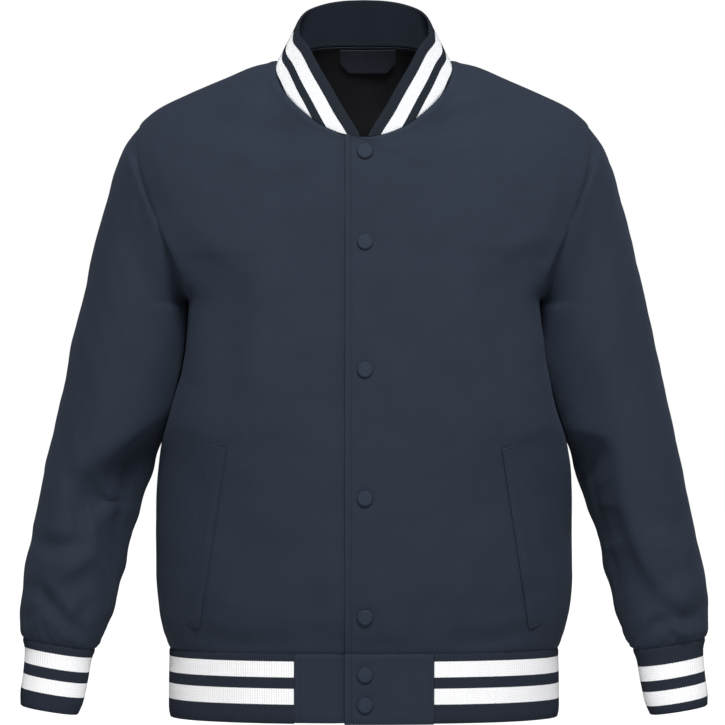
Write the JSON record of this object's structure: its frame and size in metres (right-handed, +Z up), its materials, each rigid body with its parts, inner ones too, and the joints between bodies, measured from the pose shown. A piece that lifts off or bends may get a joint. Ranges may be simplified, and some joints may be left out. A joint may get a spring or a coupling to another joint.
{
  "type": "varsity jacket",
  "caption": "Varsity jacket filled out as if worn: plain woven body and set-in sleeves, snap front, slanted welt pockets, striped rib collar, cuffs and hem.",
  "frame": {"origin": "between the shoulders at the height of the neck points, where the wearer's shoulders and neck carry the jacket", "axes": "+Z up; the jacket faces -Y, so +Y is towards its back; +X is the wearer's left"},
  "size_m": [0.7232, 0.2708, 0.7622],
  "materials": {
    "shell_cloth": "smooth matte slate-navy woven shell with a faint sheen",
    "rib_knit": "vertical rib knit, navy with two white stripes",
    "snap_cap": "satin navy painted snap caps",
    "label_cloth": "plain dark woven label, blank"
  },
  "bodies": {
    "root": {"front_left": "shell_cloth", "front_right": "shell_cloth", "back": "shell_cloth", "sleeve_left": "shell_cloth", "sleeve_right": "shell_cloth", "waistband_tab_left": "shell_cloth", "waistband_tab_right": "shell_cloth", "pocket_welt_left": "shell_cloth", "pocket_welt_right": "shell_cloth", "collar_rib": "rib_knit", "cuff_left": "rib_knit", "cuff_right": "rib_knit", "waistband_rib": "rib_knit", "neck_label": "label_cloth", "snap_1": "snap_cap", "snap_2": "snap_cap", "snap_3": "snap_cap", "snap_4": "snap_cap", "snap_5": "snap_cap", "snap_6": "snap_cap", "snap_7": "snap_cap"}
  },
  "joints": []
}
